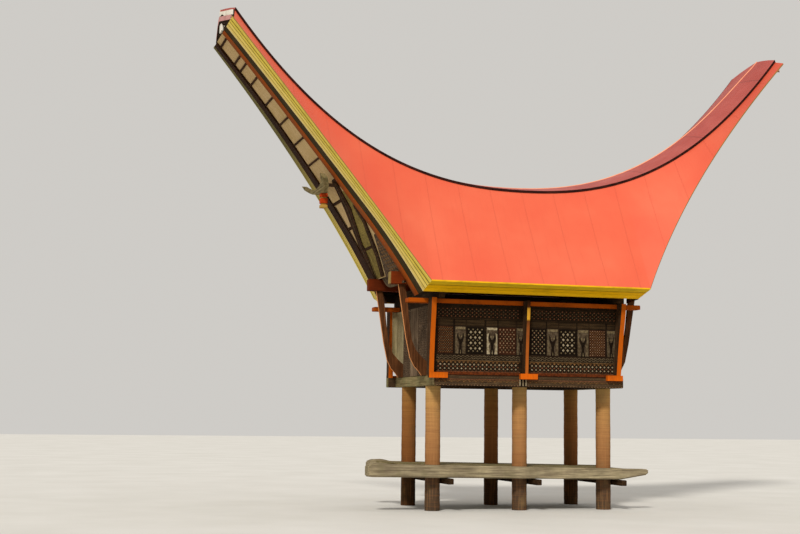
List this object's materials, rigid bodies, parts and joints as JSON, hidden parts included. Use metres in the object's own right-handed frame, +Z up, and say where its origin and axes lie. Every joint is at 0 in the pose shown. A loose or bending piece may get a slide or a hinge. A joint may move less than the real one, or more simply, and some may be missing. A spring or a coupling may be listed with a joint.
{
  "type": "tongkonan-style rice barn",
  "caption": "Raised rice barn in tongkonan form: round posts, sitting platform, carved box and a saddle roof with two long rising prows.",
  "frame": {"origin": "on the ground, halfway between the two tips", "axes": "+X along the ridge to the right end, +Y to the far long side, +Z up"},
  "size_m": [15.22, 5.38, 12.4431],
  "materials": {
    "roof_metal": "salmon red paint on flat sheet metal, slightly chalky",
    "edge_paint": "weathered yellow paint on layered boards",
    "eave_paint": "olive mustard paint",
    "orange_paint": "orange paint",
    "carved_wood": "carved and painted in black, red brown and white",
    "grey_timber": "bare weathered timber",
    "dark_timber": "dark stained timber",
    "post_wood": "smooth rust brown palm trunk",
    "block_paint": "red orange paint with gilt rings",
    "woven_panel": "pale bamboo panel with dark battens"
  },
  "bodies": {
    "root": {"post_left_near": "post_wood", "post_middle_near": "post_wood", "post_right_near": "post_wood", "post_left_far": "post_wood", "post_middle_far": "post_wood", "post_right_far": "post_wood", "platform_plank_near": "grey_timber", "platform_plank_far": "grey_timber", "deck": "grey_timber", "cross_beam_left": "dark_timber", "cross_beam_middle": "dark_timber", "cross_beam_right": "dark_timber", "sill_near": "carved_wood", "sill_far": "carved_wood", "end_sill_left": "grey_timber", "end_sill_right": "grey_timber", "bearer_left": "dark_timber", "bearer_middle": "dark_timber", "bearer_right": "dark_timber", "floor": "grey_timber", "wall_near": "carved_wood", "wall_far": "carved_wood", "wall_left": "grey_timber", "wall_right": "grey_timber", "plate_near": "orange_paint", "plate_far": "orange_paint", "tie_left": "dark_timber", "tie_right": "dark_timber", "long_beam_near": "dark_timber", "long_beam_far": "dark_timber", "bracket_left_near": "orange_paint", "bracket_middle_near": "orange_paint", "bracket_right_near": "orange_paint", "bracket_left_far": "orange_paint", "bracket_middle_far": "orange_paint", "bracket_right_far": "orange_paint", "end_bracket_left_near": "carved_wood", "end_bracket_right_near": "carved_wood", "end_bracket_left_far": "carved_wood", "end_bracket_right_far": "carved_wood", "ridge_cap_left": "roof_metal", "ridge_cap_right": "roof_metal", "roof_slope_near": "roof_metal", "roof_slope_far": "roof_metal", "eave_board_near": "eave_paint", "eave_board_far": "eave_paint", "edge_board_left_near": "edge_paint", "edge_board_right_near": "edge_paint", "edge_board_left_far": "edge_paint", "edge_board_right_far": "edge_paint", "rafter_board_left_near": "dark_timber", "rafter_board_right_near": "dark_timber", "rafter_board_left_far": "dark_timber", "rafter_board_right_far": "dark_timber", "gable_panel_left": "woven_panel", "gable_panel_right": "woven_panel", "apex_timber_left": "grey_timber", "apex_timber_right": "grey_timber", "hanging_block_left": "block_paint", "hanging_block_right": "block_paint"}
  },
  "joints": []
}
